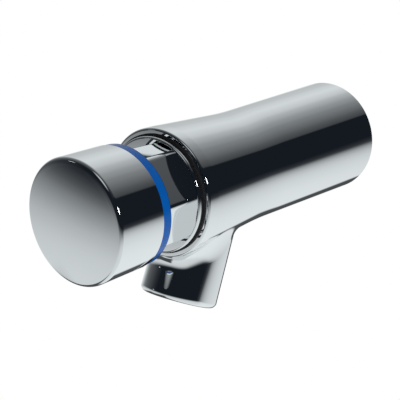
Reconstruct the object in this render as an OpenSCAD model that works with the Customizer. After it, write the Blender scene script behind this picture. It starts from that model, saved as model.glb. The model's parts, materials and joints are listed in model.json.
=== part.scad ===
// Push timed tap: wall-mounted, self-closing, with a round push button.
// Origin on the wall face at the inlet's axis. The tap stands out along -Y, +X is to the right, +Z is up.
// Lengths named "from the wall" are measured along -Y, and radii from the inlet's axis.

/* [Body] */
// Length from the wall to the front face
body_len = 109.6; // [98:0.2:125]
// Radius of the front rim
rim_r = 23.3; // [23:0.05:25]
// How far the radius at the wall stays under the rim's
rear_step = 0.25; // [0:0.05:0.8]
// How far the radius at the waist, where the two tapers would meet, stays under the rim's
waist_depth = 1.9; // [0.9:0.05:2.1]
// Waist's distance from the wall
waist_from_wall = 66; // [50:1:76]
// Radius of the arc that blends the tapers at the waist
waist_arc = 200; // [60:10:300]
// Length of the rim's straight band
rim_band = 5; // [3:0.5:8]
// Radius of the arc that leads into the rim's band
rim_blend = 20; // [5:1:40]
// Rounding of the rim's front edge
rim_round = 0.9; // [0.3:0.1:1.4]
// Rounding of the edge at the wall
rear_round = 0.6; // [0.2:0.1:1.5]

/* [Spout] */
// Distance of the outlet's centre behind the body's front face
outlet_setback = 10; // [8:0.1:12]
// Depth of the outlet's centre under the inlet's axis
outlet_drop = 43.3; // [42:0.1:52]
// Forward lean of the spout from the vertical
spout_tilt = 24.2; // [20:0.2:28]
// Radius of the spout at its lip
lip_r = 14.45; // [13.9:0.05:15.5]
// Radius of the spout where it meets the body
spout_root_r = 14.1; // [12.5:0.1:14.5]
// Rounding of the lip's outer edge
lip_round = 2.2; // [0.3:0.1:2.3]
// Radius of the fillet between spout and body in front, under the rim
fillet_front = 3.2; // [2:0.2:4]
// Radius of the fillet at the spout's sides
fillet_side = 12.5; // [6:0.5:13]
// Radius of the fillet behind the spout
fillet_back = 2; // [1.5:0.25:4]
// Radius of the water channel in the spout
channel_r = 7; // [5:0.25:7.5]
// Widening of the channel at the insert's shoulder
channel_flare = 1.5; // [0.5:0.25:3]
// Length of the cone between the insert's shoulder and the channel
channel_neck = 5; // [3:0.5:8]

/* [Head nut] */
// Width across the flats of the hexagon
nut_af = 32; // [27:0.5:32.5]
// Turn of the hexagon's first corner above the horizontal
nut_turn = 6; // [0:1:59]
// Length of the hexagon in front of the flange
hex_len = 16.5; // [15.5:0.5:19]
// Radius of the flange
flange_r = 20.8; // [19.6:0.1:22]
// Thickness of the flange
flange_t = 1.8; // [1.6:0.1:5]
// Rounding of the flange's front edge
flange_round = 0.8; // [0.3:0.1:1.2]
// Length of the screwed shank in the body
shank_len = 13.4; // [11:0.2:16]
// Radius of the screwed shank
shank_r = 18.9; // [18.2:0.1:19.1]
// Radius of the hollow inside the shank
shank_bore_r = 13; // [11:0.5:14.5]
// Thickness of the flat seal under the flange
bonnet_seal_t = 0.6; // [0.4:0.1:1.5]
// Radius of the flat seal under the flange
bonnet_seal_r = 21.4; // [20:0.1:22]

/* [Gland] */
// Wall of the spindle's bush
bush_wall = 2.4; // [1.5:0.1:3.2]
// Length of the spindle's bush
bush_len = 12; // [8:0.5:13]
// Section of the spindle's O-ring
gland_section = 2.5; // [1.8:0.1:3]
// Thickness of the washer in front of the O-ring
retainer_t = 1; // [0.6:0.1:1.6]

/* [Button] */
// Radius of the button
button_r = 21.5; // [21:0.1:24]
// Length of the button's side
skirt_len = 19.6; // [18.6:0.2:26]
// Height of the domed face above the edge
dome_h = 1.9; // [0.6:0.1:3]
// Rounding of the face's edge
button_round = 1.4; // [0.6:0.1:2]
// Wall of the button's side
button_wall = 2.2; // [1.9:0.1:2.4]
// Thickness of the button's face at its edge
face_t = 3; // [2:0.25:3.5]
// Radius of the boss inside the button
boss_r = 7; // [6:0.25:9]
// Free gap between flange and ring, at rest
button_gap = 14.6; // [13.6:0.1:18]
// Width of the coloured ring
ring_w = 3.8; // [2:0.1:6]
// How far the coloured ring's radius stays under the button's
ring_step = 0.3; // [0:0.1:0.8]
// Wall of the coloured ring on the button's neck
ring_wall = 1; // [0.6:0.1:1.2]
// How far the button goes in
press_travel = 8; // [5:0.25:9]

/* [Valve] */
// Radius of the outlet chamber
chamber_r = 17.5; // [17:0.1:17.8]
// Distance of the seat ring from the wall
seat_from_wall = 71.5; // [69:0.25:76]
// Wall of the windowed cage
cage_wall = 1.9; // [1.2:0.1:2.4]
// Number of windows in the cage
cage_windows = 6; // [4:1:8]
// Thickness of the seat ring
seat_t = 3.5; // [3:0.25:5]
// Radius of the seat's opening
seat_r = 7; // [6:0.25:7.5]
// Height of the seat's nose
nose_h = 1.5; // [1:0.1:1.8]
// Width of the seat's nose
nose_w = 1.3; // [0.9:0.1:1.6]
// Section of the seat's O-ring
seat_section = 2; // [1.5:0.1:2.2]
// Radius of the spindle
spindle_r = 4; // [3.5:0.1:4.5]
// Radius of the spindle's thinner ends
spindle_end_r = 3; // [2.4:0.1:3.2]
// Radius of the valve washer
washer_r = 9.5; // [9.2:0.1:9.8]
// Thickness of the valve washer
washer_t = 3; // [2:0.25:4]
// Thickness of the cup behind the washer
disc_t = 3; // [2:0.25:4]
// Wall of the cup's rim
disc_rim = 0.7; // [0.5:0.1:0.9]

/* [Timing] */
// Radius of the dashpot's bore
dash_r = 9; // [8.5:0.1:9.4]
// Outer radius of the timing cylinder
cyl_r = 12.5; // [12.2:0.1:13]
// Inner radius of the cylinder's windowed front
valve_zone_r = 11; // [10.8:0.1:11.2]
// Thickness of the cylinder's clamped flange
cyl_flange_t = 2; // [1.5:0.25:3]
// Number of windows in the cylinder
cyl_windows = 4; // [3:1:5]
// Thickness of the piston's head
piston_t = 6; // [5:0.5:7]
// Width of the piston's lip seal
lip_seal_w = 3.4; // [2.5:0.1:3.8]
// Length of the spring at rest
spring_len = 19; // [17:0.5:20]
// Mean radius of the spring
spring_r = 6.6; // [5.8:0.1:7.2]
// Diameter of the spring's wire
spring_wire = 1.3; // [0.9:0.1:1.5]
// Number of the spring's turns
spring_turns = 6; // [4:0.5:6.5]
// Thickness of the dashpot's end cap
cap_t = 3; // [2:0.25:3.5]

/* [Inlet] */
// Radius of the inlet thread, G1/2
thread_r = 10.4775; // [10:0.01:11]
// Length of the thread behind the wall face
thread_out = 9; // [8:0.5:14]
// Radius of the nipple's water bore
nipple_bore_r = 6; // [5:0.25:7]
// Width across the flats of the key socket in the nipple
socket_af = 13; // [12:0.5:14]
// Depth of the key socket in the nipple
socket_depth = 8; // [6:0.5:10]
// Radius of the nipple's collar
collar_r = 13.5; // [12.5:0.25:14]
// Thickness of the nipple's collar
collar_t = 4.5; // [3:0.25:5]
// Thickness of the washer under the collar
nipple_seal_t = 1.5; // [1:0.25:2]
// Radius of the recess in the body's rear
recess_r = 19; // [17:0.25:20]
// Depth of the recess in the body's rear
recess_depth = 7.5; // [7:0.25:9]
// Thickness of the wall that the nipple screws into
web_t = 12.5; // [8:0.5:13.5]
// Radius of the inlet chamber
inlet_r = 16; // [15:0.25:16.5]
// Radius of the strainer's rim
strainer_r = 8; // [7.5:0.25:8.5]
// Length of the strainer
strainer_len = 3.5; // [2.5:0.25:5]

/* [Jet] */
// Radius of the outlet insert's screwed bore
jet_bore_r = 11.9; // [11.4:0.1:12.2]
// How far the insert sits inside the lip
jet_recess = 0.8; // [0.4:0.1:2]
// Wall of the insert's housing
jet_wall = 1.4; // [1:0.1:1.8]
// Depth of the mouth under the honeycomb
mouth_depth = 8; // [7:0.25:9]
// Thickness of the honeycomb
former_t = 3; // [2:0.25:4]
// Width across the flats of a honeycomb cell
cell_af = 2.8; // [2.4:0.1:3.6]
// Thickness of the drilled disc
limiter_t = 2.5; // [1.5:0.25:3]
// Number of holes in the drilled disc
limiter_holes = 10; // [6:1:12]
// Thickness of the washer above the insert
jet_seal_t = 1.5; // [1:0.25:2]

/* [Fits] */
// Radial gap between pieces that screw or push together
fit_gap = 0.05; // [0.03:0.01:0.12]
// Radial gap of sliding pairs
slide_gap = 0.06; // [0.02:0.01:0.09]
// Gap at the closed valve, and between pieces that pass each other
rest_gap = 0.05; // [0.02:0.01:0.15]

/* [Hidden] */
$fn = 96;

// Colours
chrome = [0.82, 0.84, 0.86];
blue = [0.05, 0.32, 0.62];
brass = [0.80, 0.66, 0.36];
steel = [0.66, 0.68, 0.70];
rubber = [0.09, 0.09, 0.10];
acetal = [0.90, 0.90, 0.87];
fibre = [0.55, 0.20, 0.16];
ruby = [0.70, 0.05, 0.16];

// Stations along the axis, from the wall
web_front = recess_depth + web_t;
flange_back = body_len + bonnet_seal_t;
flange_front = flange_back + flange_t;
hex_front = flange_front + hex_len;
ring_back = flange_front + button_gap;
skirt_back = ring_back + ring_w;
edge_at = skirt_back + skirt_len;
inner_face = edge_at - face_t;
shank_back = body_len - shank_len;
seat_back = seat_from_wall;
cage_back = seat_back + seat_t;
cage_len = shank_back - cage_back;
shoulder_at = seat_back - cyl_flange_t;
washer_front = seat_back - nose_h - rest_gap;
washer_back = washer_front - washer_t;
disc_back = washer_back - disc_t;

// Dashpot stations: the piston stays in its bore over the whole travel
end_room = 0.9;
dash_front = disc_back - press_travel - end_room;
piston_front = dash_front - end_room;
piston_back = piston_front - piston_t;
spring_back = piston_back - spring_len;
cap_back = spring_back - cap_t;
clip_t = 1;
clip_back = cap_back - clip_t;
clip_lip = 1.5;
cyl_back = clip_back - clip_lip;

// Gland stations inside the hexagon's front end
retainer_back = hex_front - retainer_t;
bush_front = retainer_back - gland_section - 2 * rest_gap;
bush_back = bush_front - bush_len;
bush_lip_t = 1.5;
bush_lip_r = 8.5;
bush_r = spindle_r + slide_gap + bush_wall;
gland_r = max(bush_r, spindle_r + slide_gap + gland_section) + fit_gap;

// Button stations: the lock nut clears the hexagon at full travel
stop_room = 0.8;
nut_back = hex_front + press_travel + stop_room;
lock_nut_t = 3.2;
lock_nut_af = 10;
nut_front = nut_back + lock_nut_t;
skirt_r = button_r - button_wall;
ring_r = button_r - ring_step;
neck_r = ring_r - ring_wall;
neck_inset = 0.2;

// Radii that follow from the rim and from the fits
rear_r = rim_r - rear_step;
waist_r = rim_r - waist_depth;
hex_r = nut_af / 2 / cos(30);
shank_hole_r = shank_r + fit_gap;
stack_r = chamber_r - fit_gap;
thread_hole_r = thread_r + fit_gap;
cap_r = dash_r + 1;
clip_groove_r = cap_r + 0.8;
piston_r = dash_r - 0.3;
lip_groove_r = piston_r - 2.2;
jewel_r = 1.4;
jewel_at = (spindle_end_r + lip_groove_r) / 2 + 0.2;

// Spout stations, measured up its axis from the outlet's centre
outlet_reach = body_len - outlet_setback;
core_run_in = 7.9;
spout_top = (outlet_drop - chamber_r + core_run_in) / cos(spout_tilt);
root_up = (outlet_drop - waist_r) / cos(spout_tilt);
spout_taper = (lip_r - spout_root_r) / root_up;
mouth_top = jet_recess + mouth_depth;
ledge_t = 1;
former_top = mouth_top + ledge_t + former_t;
housing_top = former_top + limiter_t;
jet_shoulder = housing_top + jet_seal_t;
housing_r = jet_bore_r - fit_gap;
housing_bore_r = housing_r - jet_wall;
insert_r = housing_bore_r - fit_gap;
mouth_r = housing_bore_r - 0.9;

// Steps of a rounded corner, in degrees
arc_step = 10;

function unit(v) = v / norm(v);
function turned(v, a) = [v.x * cos(a) - v.y * sin(a), v.x * sin(a) + v.y * cos(a)];

// One corner of an outline: an arc where the point has a radius, shortened where its edges are short
function corner(before, at, after) =
    len(at) < 3 ? [at] :
    let (p = [at.x, at.y],
         u = unit([before.x, before.y] - p),
         v = unit([after.x, after.y] - p),
         half = acos(u * v) / 2,
         room = 0.48 * min(norm([before.x, before.y] - p), norm([after.x, after.y] - p)),
         reach = min(at[2] / tan(half), room),
         radius = reach * tan(half),
         centre = p + unit(u + v) * radius / sin(half),
         start = p + u * reach - centre,
         sweep = (180 - 2 * half) * sign(cross(u, v)) * -1,
         steps = max(4, ceil(abs(sweep) / arc_step)))
    [for (i = [0 : steps]) centre + turned(start, sweep * i / steps)];

// An outline of [x, y] or [x, y, radius] points with its corners rounded
function rounded(points) =
    let (n = len(points))
    [for (i = [0 : n - 1]) each corner(points[(i + n - 1) % n], points[i], points[(i + 1) % n])];

// Puts what is drawn with Z as its axis on the tap's axis, at its distance from the wall
module on_axis(from_wall = 0)
    translate([0, -from_wall, 0])
        rotate([90, 0, 0])
            children();

// Puts what is drawn with Z as its axis on the spout's axis, above the outlet's centre
module on_spout(up = 0)
    translate([0, -outlet_reach, -outlet_drop])
        rotate([-spout_tilt, 0, 0])
            translate([0, 0, up])
                children();

// Turns an outline of [radius, height] points about Z
module lathe(points)
    rotate_extrude()
        polygon(rounded(points));

// A plain ring between two radii, standing on Z = 0
module ring(outer, inner, height)
    lathe([[inner, 0], [outer, 0], [outer, height], [inner, height]]);

// A ring of round section between two radii, standing on Z = 0
module o_ring(inner, section)
    translate([0, 0, section / 2])
        rotate_extrude()
            translate([inner + section / 2, 0])
                circle(d = section, $fn = 32);

// An open clip: a ring with a gap
module clip(outer, inner, height, gap)
    difference() {
        ring(outer, inner, height);
        translate([0, -gap / 2, -height])
            cube([2 * outer, gap, 3 * height]);
    }

// A solid skin over rings of points: closed rings run round to the first one, others get end faces
module skin(rings, closed = false) {
    n = len(rings);
    m = len(rings[0]);
    last = closed ? n - 1 : n - 2;
    sides = [for (i = [0 : last], j = [0 : m - 1])
             let (a = i * m + j,
                  b = i * m + (j + 1) % m,
                  c = ((i + 1) % n) * m + (j + 1) % m,
                  d = ((i + 1) % n) * m + j)
             each [[a, b, c], [a, c, d]]];
    ends = closed ? [] : [for (j = [1 : m - 2])
                          each [[0, j + 1, j], [(n - 1) * m, (n - 1) * m + j, (n - 1) * m + j + 1]]];
    polyhedron([for (r = rings) each r], concat(sides, ends));
}

// Fillet between spout and body: a ball rolls round the spout, touching both, and leaves its arc.
// It is widest a little in front of the spout's sides, and small in front and behind.
fillet_steps = 72;
fillet_arc_steps = 8;
fillet_bite = 0.06;
fillet_root = 1.2;
fillet_peak = 10;
fillet_back_turn = 60;
spout_up = [0, sin(spout_tilt), cos(spout_tilt)];
spout_fore = [0, -cos(spout_tilt), sin(spout_tilt)];
outlet_at = [0, -outlet_reach, -outlet_drop];
front_taper = (rim_r - waist_r) / (body_len - rim_band - waist_from_wall);

function spout_normal(t) = unit([cos(t), 0, 0] + sin(t) * spout_fore + spout_taper * spout_up);
function ease(u) = let (k = min(1, max(0, u))) k * k * (3 - 2 * k);
// Radius of the ball at a turn round the spout, 90 in front and -90 behind
function fillet_r(t) =
    let (a = asin(sin(t)))
    a > fillet_peak
    ? fillet_side + (fillet_front - fillet_side) * ease((a - fillet_peak) / (90 - fillet_peak))
    : fillet_side + (fillet_back - fillet_side) * ease((fillet_peak - a) / fillet_back_turn);
function ball_at(t, s) =
    outlet_at + s * spout_up + (lip_r - spout_taper * s) * ([cos(t), 0, 0] + sin(t) * spout_fore)
    + fillet_r(t) * spout_normal(t);

// Place on the body that a ball at c rolls on: the cone, the rim's band or the rounding in front of it
band_from = body_len - rim_band;
round_at = [rim_r - rim_round, body_len - rim_round];
function cone_r(from_wall) = waist_r + front_taper * (from_wall - waist_from_wall);
function ball_gap(c, r) =
    let (rho = norm([c.x, c.z]), d = -c.y)
    d > round_at.y ? norm([rho, d] - round_at) - rim_round - r :
    d > band_from ? rho - rim_r - r :
    rho - cone_r(d) - r * norm([1, front_taper]);
function body_side(c) =
    let (rho = norm([c.x, c.z]), d = -c.y)
    d > round_at.y ? unit([c.x / rho * round_at.x, -round_at.y, c.z / rho * round_at.x] - c) :
    d > band_from ? -unit([c.x, 0, c.z]) :
    -unit([c.x, front_taper * rho, c.z]);
// Height at which the ball touches the body, halved in on between two heights
function ball_height(t, low, high, tries = 24) =
    tries == 0 ? (low + high) / 2 :
    let (mid = (low + high) / 2)
    ball_gap(ball_at(t, mid), fillet_r(t)) > 0 ? ball_height(t, mid, high, tries - 1)
                                               : ball_height(t, low, mid, tries - 1);
function fillet_section(t) =
    let (c = ball_at(t, ball_height(t, 0, outlet_drop / cos(spout_tilt))),
         a = -spout_normal(t),
         b = body_side(c),
         bend = acos(a * b),
         reach = fillet_r(t) + fillet_bite,
         deep = reach / cos(bend / 2) + fillet_root)
    concat([for (i = [0 : fillet_arc_steps])
            let (k = i / fillet_arc_steps)
            c + reach * (sin((1 - k) * bend) * a + sin(k * bend) * b) / sin(bend)],
           [c + deep * unit(a + b)]);

module root_blend()
    skin([for (i = [0 : fillet_steps - 1]) fillet_section(-360 * i / fillet_steps)], closed = true);

// Body: waisted casting with the spout, bored from both ends
module body() color(chrome)
    difference() {
        union() {
            on_axis() lathe([[0, 0], [rear_r, 0, rear_round], [waist_r, waist_from_wall, waist_arc],
                             [rim_r, body_len - rim_band, rim_blend], [rim_r, body_len, rim_round],
                             [0, body_len]]);
            on_spout() lathe([[0, 0], [lip_r, 0, lip_round],
                              [lip_r - spout_taper * spout_top, spout_top], [0, spout_top]]);
            root_blend();
        }
        on_axis() lathe([[0, -1], [recess_r, -1], [recess_r, recess_depth],
                         [thread_hole_r, recess_depth], [thread_hole_r, web_front],
                         [inlet_r, web_front], [inlet_r, shoulder_at], [chamber_r, shoulder_at],
                         [chamber_r, shank_back], [shank_hole_r, shank_back],
                         [shank_hole_r, body_len + 1], [0, body_len + 1]]);
        on_spout() lathe([[0, -1], [jet_bore_r, -1], [jet_bore_r, jet_shoulder],
                          [channel_r + channel_flare, jet_shoulder], [channel_r, jet_shoulder + channel_neck],
                          [channel_r, spout_top], [0, spout_top]]);
    }

// Head nut: hexagon with its corners turned off in front, flange and hollow screwed shank
nut_overlap = 0.5;
hex_chamfer = 1;
hex_face_inset = 0.4;
module head_nut() color(chrome)
    difference() {
        union() {
            on_axis() rotate(nut_turn)
                intersection() {
                    translate([0, 0, flange_front - nut_overlap])
                        cylinder(r = hex_r, h = hex_len + nut_overlap, $fn = 6);
                    lathe([[0, flange_back], [hex_r + 1, flange_back], [hex_r + 1, hex_front - hex_chamfer],
                           [nut_af / 2 - hex_face_inset, hex_front], [0, hex_front]]);
                }
            on_axis() lathe([[0, flange_back], [flange_r, flange_back],
                             [flange_r, flange_front, flange_round], [0, flange_front]]);
            on_axis(shank_back) cylinder(r = shank_r, h = flange_back + nut_overlap - shank_back);
        }
        on_axis() lathe([[0, shank_back - 1], [shank_bore_r, shank_back - 1],
                         [shank_bore_r, bush_back], [bush_r + fit_gap, bush_back],
                         [bush_r + fit_gap, bush_front], [gland_r, bush_front],
                         [gland_r, hex_front + 1], [0, hex_front + 1]]);
    }

module bonnet_seal() color(rubber)
    on_axis(body_len) ring(bonnet_seal_r, shank_r + fit_gap, bonnet_seal_t);

module spindle_bush() color(acetal)
    on_axis() lathe([[spindle_r + slide_gap, bush_back - bush_lip_t],
                     [bush_lip_r, bush_back - bush_lip_t], [bush_lip_r, bush_back],
                     [bush_r, bush_back], [bush_r, bush_front], [spindle_r + slide_gap, bush_front]]);

module spindle_seal() color(rubber)
    on_axis(bush_front + rest_gap) o_ring(spindle_r + slide_gap, gland_section);

module seal_retainer() color(steel)
    on_axis(retainer_back) ring(gland_r - fit_gap, spindle_r + 0.3, retainer_t);

// Width of a window that leaves a post beside it
window_share = 0.68;
function window_w(count, r) = 2 * r * sin(180 / count) * window_share;

// Outlet cage: spacer with windows between the head nut and the seat
cage_rail = 3.8;
module outlet_cage() color(acetal)
    on_axis(cage_back)
        difference() {
            ring(stack_r, stack_r - cage_wall, cage_len);
            for (i = [0 : cage_windows - 1])
                rotate(360 * i / cage_windows - 90)
                    translate([0, -window_w(cage_windows, stack_r) / 2, cage_rail])
                        cube([2 * stack_r, window_w(cage_windows, stack_r), cage_len - 2 * cage_rail]);
        }

// Valve seat: ring with a nose towards the inlet and a groove for its O-ring
seat_groove_w = seat_section + 2 * rest_gap;
seat_groove_in = (seat_t - seat_groove_w) / 2;
module valve_seat() color(brass)
    on_axis() lathe([[seat_r, seat_back - nose_h], [seat_r + nose_w, seat_back - nose_h, 0.4],
                     [seat_r + nose_w + 0.8, seat_back], [stack_r, seat_back],
                     [stack_r, cage_back - seat_groove_in - seat_groove_w],
                     [stack_r - seat_section, cage_back - seat_groove_in - seat_groove_w],
                     [stack_r - seat_section, cage_back - seat_groove_in],
                     [stack_r, cage_back - seat_groove_in],
                     [stack_r, cage_back], [seat_r + 1, cage_back], [seat_r, cage_back - 1]]);

module seat_seal() color(rubber)
    on_axis(cage_back - seat_groove_in - seat_section - rest_gap)
        o_ring(stack_r - seat_section, seat_section);

// Timing cylinder: clamped flange, windowed valve zone and closed dashpot
cyl_window_margin = 1.2;
module timing_cylinder() color(brass)
    difference() {
        on_axis() lathe([[dash_r, spring_back], [cap_r + fit_gap, spring_back], [cap_r + fit_gap, cap_back],
                         [clip_groove_r, cap_back], [clip_groove_r, clip_back],
                         [cap_r + fit_gap, clip_back], [cap_r + fit_gap, cyl_back], [cyl_r, cyl_back],
                         [cyl_r, shoulder_at], [stack_r, shoulder_at], [stack_r, seat_back],
                         [valve_zone_r, seat_back], [valve_zone_r, dash_front], [dash_r, dash_front]]);
        for (i = [0 : cyl_windows - 1])
            on_axis(dash_front + cyl_window_margin)
                rotate(360 * i / cyl_windows + 45)
                    translate([0, -window_w(cyl_windows, cyl_r) / 2, 0])
                        cube([2 * cyl_r, window_w(cyl_windows, cyl_r),
                              shoulder_at - dash_front - 2 * cyl_window_margin]);
    }

// Cylinder end cap: disc with a tapered spigot that centres the spring
spigot_h = 2;
spigot_r = spring_r - spring_wire / 2 - 0.3;
spigot_taper = 0.5;
module cylinder_end_cap() color(brass)
    on_axis() lathe([[0, cap_back], [cap_r, cap_back], [cap_r, spring_back], [spigot_r, spring_back],
                     [spigot_r - spigot_taper, spring_back + spigot_h], [0, spring_back + spigot_h]]);

clip_bite = 1.6;
end_clip_mouth = 5;
module end_cap_clip() color(steel)
    on_axis(clip_back) rotate(90) clip(clip_groove_r - fit_gap, cap_r - clip_bite, clip_t, end_clip_mouth);

// Return spring: one wound wire between the end cap and the piston, its centre line a formula
spring_rings = round(8 * spring_turns);
function spring_section(i) =
    let (a = 360 * spring_turns * i / spring_rings,
         rise = spring_wire / 2 + (spring_len - spring_wire - 2 * rest_gap) * i / spring_rings + rest_gap,
         lean = atan((spring_len - spring_wire) / (2 * PI * spring_r * spring_turns)),
         out = [cos(a), sin(a), 0],
         along = [-sin(a) * cos(lean), cos(a) * cos(lean), sin(lean)],
         over = cross(out, along))
    [for (j = [0 : 5]) spring_r * out + [0, 0, rise]
                       + spring_wire / 2 * (cos(60 * j) * out + sin(60 * j) * over)];
// Least gap between a turn and the next, on the points of their sections
function turn_gap(i) = min([for (p = spring_section(i), q = spring_section(i + 8)) norm(p - q)]);
echo(spring_least_gap = min([for (i = [0 : spring_rings - 8]) turn_gap(i)]));

module return_spring() color(steel)
    on_axis(spring_back) skin([for (i = [0 : spring_rings]) spring_section(i)]);

// Inlet nipple: thread into the wall, collar, thread into the body, key socket and strainer seat
nipple_front = web_front - 1;
collar_front = recess_depth - nipple_seal_t;
collar_back = collar_front - collar_t;
thread_chamfer = 0.8;
module inlet_nipple() color(brass)
    difference() {
        on_axis() lathe([[0, -thread_out], [thread_r - thread_chamfer, -thread_out],
                         [thread_r, -thread_out + thread_chamfer], [thread_r, collar_back],
                         [collar_r, collar_back], [collar_r, collar_front], [thread_r, collar_front],
                         [thread_r, nipple_front - thread_chamfer],
                         [thread_r - thread_chamfer, nipple_front], [0, nipple_front]]);
        on_axis() lathe([[0, -thread_out - 1], [nipple_bore_r, -thread_out - 1],
                         [nipple_bore_r, nipple_front - strainer_len],
                         [strainer_r + fit_gap, nipple_front - strainer_len],
                         [strainer_r + fit_gap, nipple_front + 1], [0, nipple_front + 1]]);
        on_axis(-thread_out - 1)
            cylinder(r = socket_af / 2 / cos(30), h = socket_depth + 1, $fn = 6);
    }

nipple_seal_inset = 0.3;
module nipple_seal() color(fibre)
    on_axis(collar_front) ring(collar_r - nipple_seal_inset, thread_r + fit_gap, nipple_seal_t);

// Inlet strainer: cup with a drilled floor
strainer_wall = 0.8;
strainer_hole_r = 0.55;
strainer_pitch = 1.7;
module inlet_strainer() color(steel)
    difference() {
        on_axis() lathe([[0, nipple_front - strainer_len], [strainer_r, nipple_front - strainer_len],
                         [strainer_r, nipple_front], [strainer_r - strainer_wall, nipple_front],
                         [strainer_r - strainer_wall, nipple_front - strainer_len + strainer_wall],
                         [0, nipple_front - strainer_len + strainer_wall]]);
        for (row = [1 : 3], i = [0 : 6 * row - 1])
            on_axis(nipple_front - strainer_len - 1)
                rotate(60 * i / row)
                    translate([strainer_pitch * row, 0, 0])
                        cylinder(r = strainer_hole_r, h = strainer_wall + 2, $fn = 16);
    }

wall_seal_gap = 0.7;
module wall_seal() color(rubber)
    on_axis() ring(recess_r - fit_gap, collar_r + wall_seal_gap, recess_depth);

// Jet housing: screwed sleeve with a ledge that carries the honeycomb, and two key slots
lip_chamfer = 0.4;
key_slot_w = 3;
key_slot_h = 1.2;
module jet_housing() color(chrome)
    on_spout()
        difference() {
            lathe([[housing_bore_r, jet_recess + lip_chamfer], [housing_bore_r + lip_chamfer, jet_recess],
                   [housing_r - lip_chamfer, jet_recess], [housing_r, jet_recess + lip_chamfer],
                   [housing_r, housing_top], [housing_bore_r, housing_top],
                   [housing_bore_r, mouth_top + ledge_t], [mouth_r, mouth_top + ledge_t],
                   [mouth_r, mouth_top], [housing_bore_r, mouth_top]]);
            for (side = [0, 180])
                rotate(side)
                    translate([housing_bore_r - 1, -key_slot_w / 2, jet_recess - 1])
                        cube([jet_wall + 2, key_slot_w, key_slot_h + 1]);
        }

// Jet former: honeycomb of open cells in a rim
cell_wall = 0.5;
module jet_former() color(acetal)
    on_spout(mouth_top + ledge_t)
        difference() {
            cylinder(r = insert_r, h = former_t);
            for (row = [-4 : 4], col = [-4 : 4])
                let (x = (col + row / 2) * (cell_af + cell_wall),
                     y = row * (cell_af + cell_wall) * sin(60))
                    if (norm([x, y]) < insert_r - cell_af * 0.58 - 0.6)
                        translate([x, y, -1])
                            rotate(30)
                                cylinder(r = cell_af / 2 / cos(30), h = former_t + 2, $fn = 6);
        }

limiter_hole_r = 0.9;
limiter_edge = 4.2;
module flow_limiter() color(acetal)
    on_spout(former_top)
        difference() {
            cylinder(r = insert_r, h = limiter_t);
            for (i = [0 : limiter_holes - 1])
                rotate(360 * i / limiter_holes)
                    translate([insert_r - limiter_edge, 0, -1])
                        cylinder(r = limiter_hole_r, h = limiter_t + 2, $fn = 24);
        }

jet_seal_gap = 0.2;
module jet_seal() color(rubber)
    on_spout(housing_top) ring(housing_r - fit_gap, channel_r + channel_flare + jet_seal_gap, jet_seal_t);

// Push button: domed cap with an inner boss for the spindle and a neck behind its side for the ring
dome_steps = 10;
back_chamfer = 0.3;
dome_edge_r = button_r - 0.2;
dome_ball_r = (dome_edge_r * dome_edge_r + dome_h * dome_h) / (2 * dome_h);
function dome_at(r) = edge_at + dome_h - dome_ball_r + sqrt(dome_ball_r * dome_ball_r - r * r);
module push_button() color(chrome)
    on_axis() lathe(concat(
        [[spindle_end_r + fit_gap, nut_front], [boss_r, nut_front], [boss_r, inner_face, 1],
         [skirt_r, inner_face, 1], [skirt_r, ring_back + neck_inset], [neck_r, ring_back + neck_inset],
         [neck_r, skirt_back], [button_r - back_chamfer, skirt_back],
         [button_r, skirt_back + back_chamfer], [button_r, dome_at(dome_edge_r), button_round]],
        [for (i = [1 : dome_steps - 1])
         let (r = (button_r - button_round) * (1 - i / dome_steps)) [r, dome_at(r)]],
        [[0, dome_at(0)], [0, inner_face - 1], [spindle_end_r + fit_gap, inner_face - 1]]));

// Coloured ring: band pushed on the button's neck, up to the step of its side
ring_round = 0.3;
module indicator_ring() color(blue)
    on_axis() lathe([[neck_r + fit_gap, ring_back], [ring_r, ring_back, ring_round], [ring_r, skirt_back],
                     [neck_r + fit_gap, skirt_back]]);

module button_lock_nut() color(brass)
    on_axis(nut_back)
        difference() {
            cylinder(r = lock_nut_af / 2 / cos(30), h = lock_nut_t, $fn = 6);
            translate([0, 0, -1])
                cylinder(r = spindle_end_r + fit_gap, h = lock_nut_t + 2);
        }

// Spindle: guided rod with a thinner screwed front end and a thinner rear end for valve and piston
spindle_front = inner_face - 1.5;
groove_back = piston_back - clip_t - rest_gap;
spindle_back = groove_back - 1.5;
clip_groove_depth = 0.7;
spindle_chamfer = 0.5;
module spindle() color(steel)
    on_axis() lathe([[0, spindle_back], [spindle_end_r - spindle_chamfer, spindle_back],
                     [spindle_end_r, spindle_back + spindle_chamfer], [spindle_end_r, groove_back],
                     [spindle_end_r - clip_groove_depth, groove_back],
                     [spindle_end_r - clip_groove_depth, piston_back], [spindle_end_r, piston_back],
                     [spindle_end_r, washer_front], [spindle_r, washer_front], [spindle_r, nut_back],
                     [spindle_end_r, nut_back], [spindle_end_r, spindle_front - spindle_chamfer],
                     [spindle_end_r - spindle_chamfer, spindle_front], [0, spindle_front]]);

module valve_washer() color(rubber)
    on_axis(washer_back) ring(washer_r, spindle_end_r + fit_gap, washer_t);

module valve_disc() color(brass)
    on_axis() lathe([[spindle_end_r + fit_gap, disc_back], [washer_r + fit_gap + disc_rim, disc_back, 0.5],
                     [washer_r + fit_gap + disc_rim, washer_back + washer_t / 2],
                     [washer_r + fit_gap, washer_back + washer_t / 2], [washer_r + fit_gap, washer_back],
                     [spindle_end_r + fit_gap, washer_back]]);

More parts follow.
